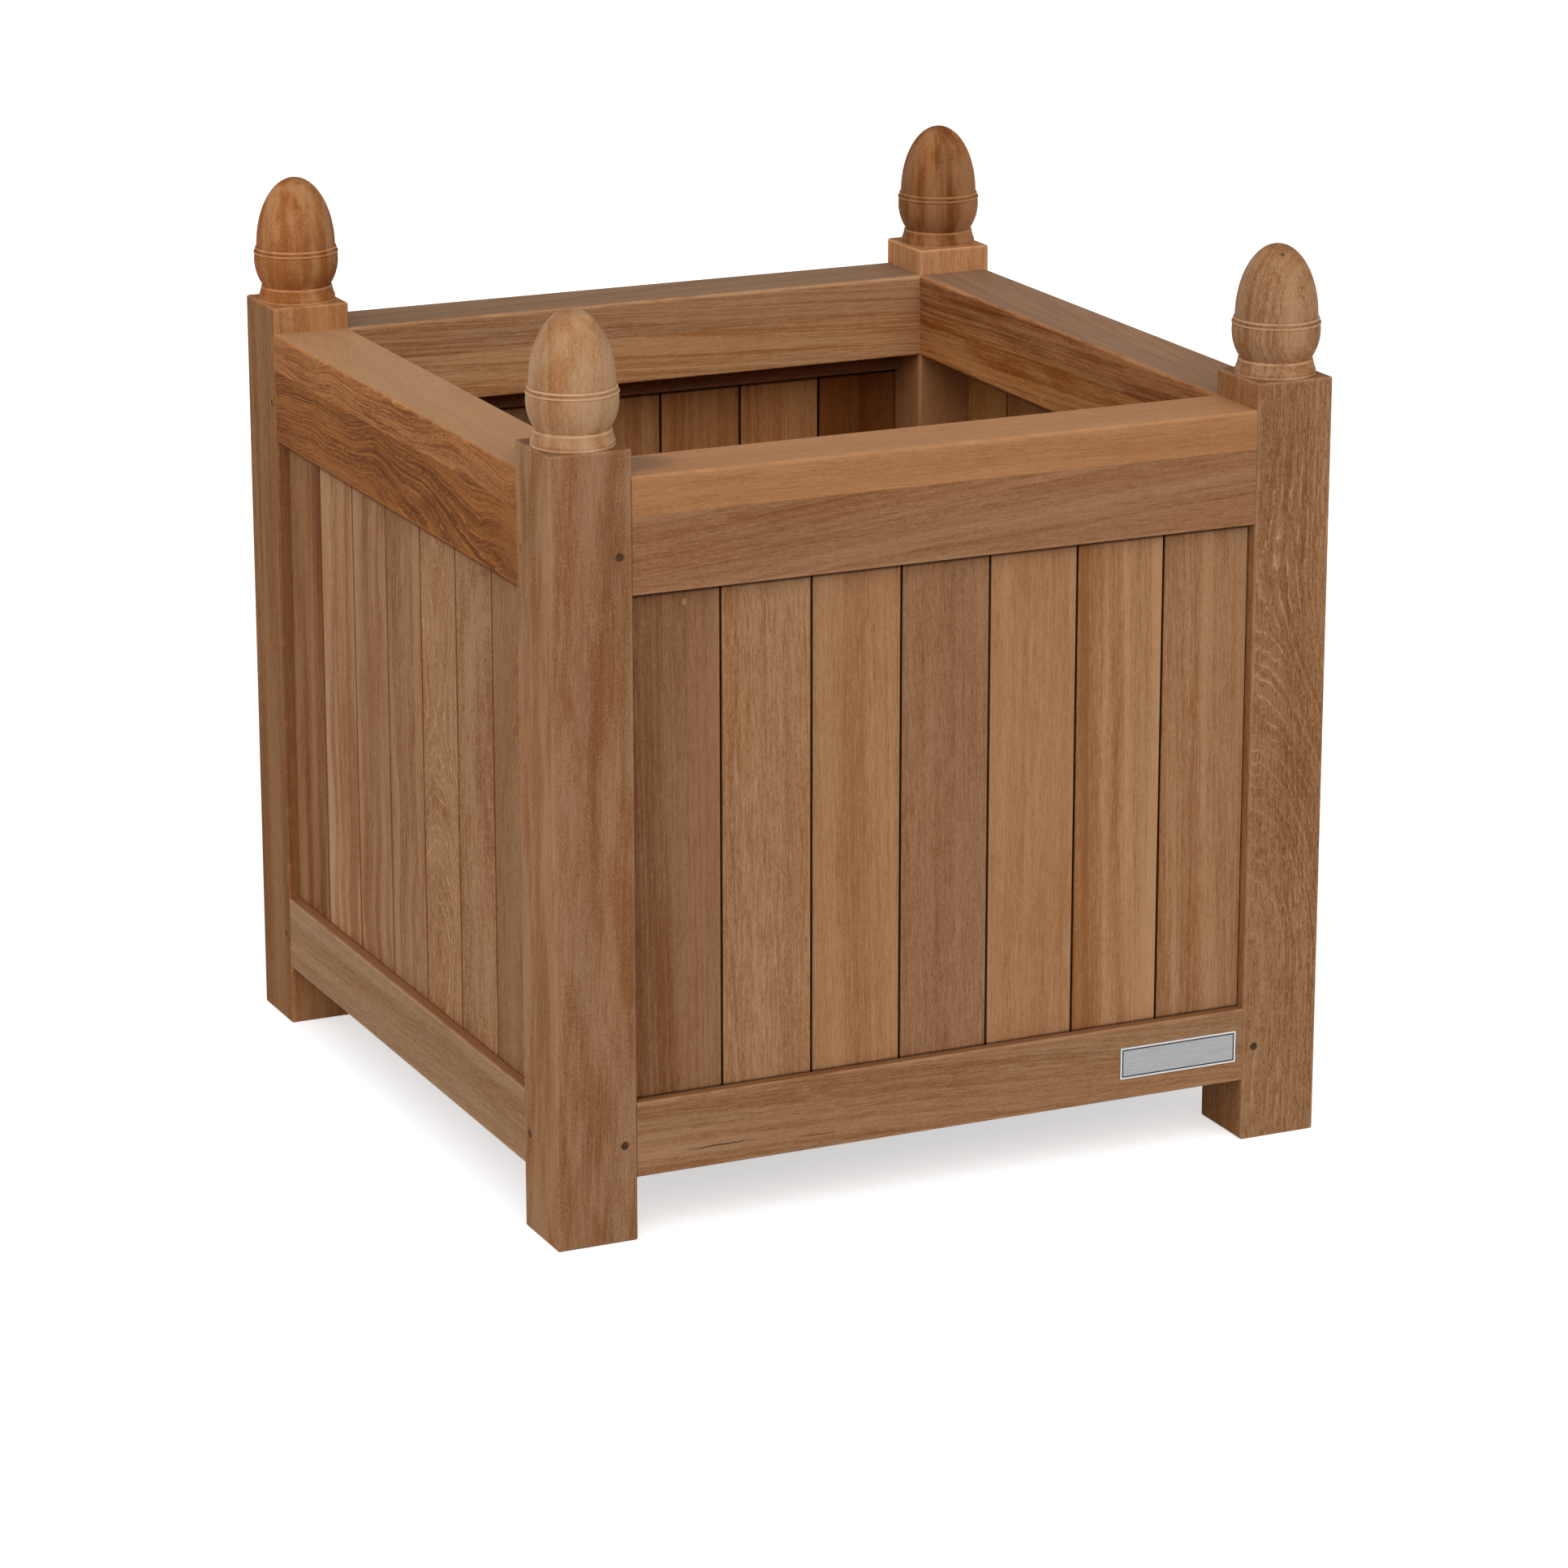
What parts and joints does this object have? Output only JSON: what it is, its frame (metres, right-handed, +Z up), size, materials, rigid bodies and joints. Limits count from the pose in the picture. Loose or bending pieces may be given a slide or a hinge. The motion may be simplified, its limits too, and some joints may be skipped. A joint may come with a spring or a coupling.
{
  "type": "planter box",
  "caption": "Square teak planter box on corner posts with turned acorn finials, slatted tongue-and-groove walls, pegged rails and a boarded floor that drains.",
  "frame": {"origin": "on the ground, under the middle of the square frame", "axes": "+Z up; -Y is the front, the side with the nameplate; +X is to the right seen from the front"},
  "size_m": [0.6518, 0.6518, 0.71],
  "materials": {
    "teak_posts": "satin oiled",
    "teak_finials": "satin turned",
    "teak_rails": "satin oiled",
    "teak_slats": "satin oiled",
    "teak_floor": "sawn",
    "dark_peg_wood": "end grain",
    "stainless_steel": "brushed",
    "brushed_plate": "brushed, engraved dark border"
  },
  "bodies": {
    "root": {"post_front_left": "teak_posts", "finial_front_left": "teak_finials", "post_front_right": "teak_posts", "finial_front_right": "teak_finials", "post_rear_right": "teak_posts", "finial_rear_right": "teak_finials", "post_rear_left": "teak_posts", "finial_rear_left": "teak_finials", "top_rail_front_upper_stave": "teak_rails", "top_rail_front_lower_stave": "teak_rails", "lower_rail_front": "teak_rails", "slat_batten_front": "teak_slats", "slat_front_1": "teak_slats", "slat_front_2": "teak_slats", "slat_front_3": "teak_slats", "slat_front_4": "teak_slats", "slat_front_5": "teak_slats", "slat_front_6": "teak_slats", "slat_front_7": "teak_slats", "top_rail_right_upper_stave": "teak_rails", "top_rail_right_lower_stave": "teak_rails", "lower_rail_right": "teak_rails", "slat_batten_right": "teak_slats", "slat_right_1": "teak_slats", "slat_right_2": "teak_slats", "slat_right_3": "teak_slats", "slat_right_4": "teak_slats", "slat_right_5": "teak_slats", "slat_right_6": "teak_slats", "slat_right_7": "teak_slats", "top_rail_rear_upper_stave": "teak_rails", "top_rail_rear_lower_stave": "teak_rails", "lower_rail_rear": "teak_rails", "slat_batten_rear": "teak_slats", "slat_rear_1": "teak_slats", "slat_rear_2": "teak_slats", "slat_rear_3": "teak_slats", "slat_rear_4": "teak_slats", "slat_rear_5": "teak_slats", "slat_rear_6": "teak_slats", "slat_rear_7": "teak_slats", "top_rail_left_upper_stave": "teak_rails", "top_rail_left_lower_stave": "teak_rails", "lower_rail_left": "teak_rails", "slat_batten_left": "teak_slats", "slat_left_1": "teak_slats", "slat_left_2": "teak_slats", "slat_left_3": "teak_slats", "slat_left_4": "teak_slats", "slat_left_5": "teak_slats", "slat_left_6": "teak_slats", "slat_left_7": "teak_slats", "floor_board_1": "teak_floor", "floor_board_2": "teak_floor", "floor_board_3": "teak_floor", "floor_board_4": "teak_floor", "joint_pegs": "dark_peg_wood", "finial_dowels": "dark_peg_wood", "floor_screws": "stainless_steel", "nameplate": "brushed_plate"}
  },
  "joints": []
}
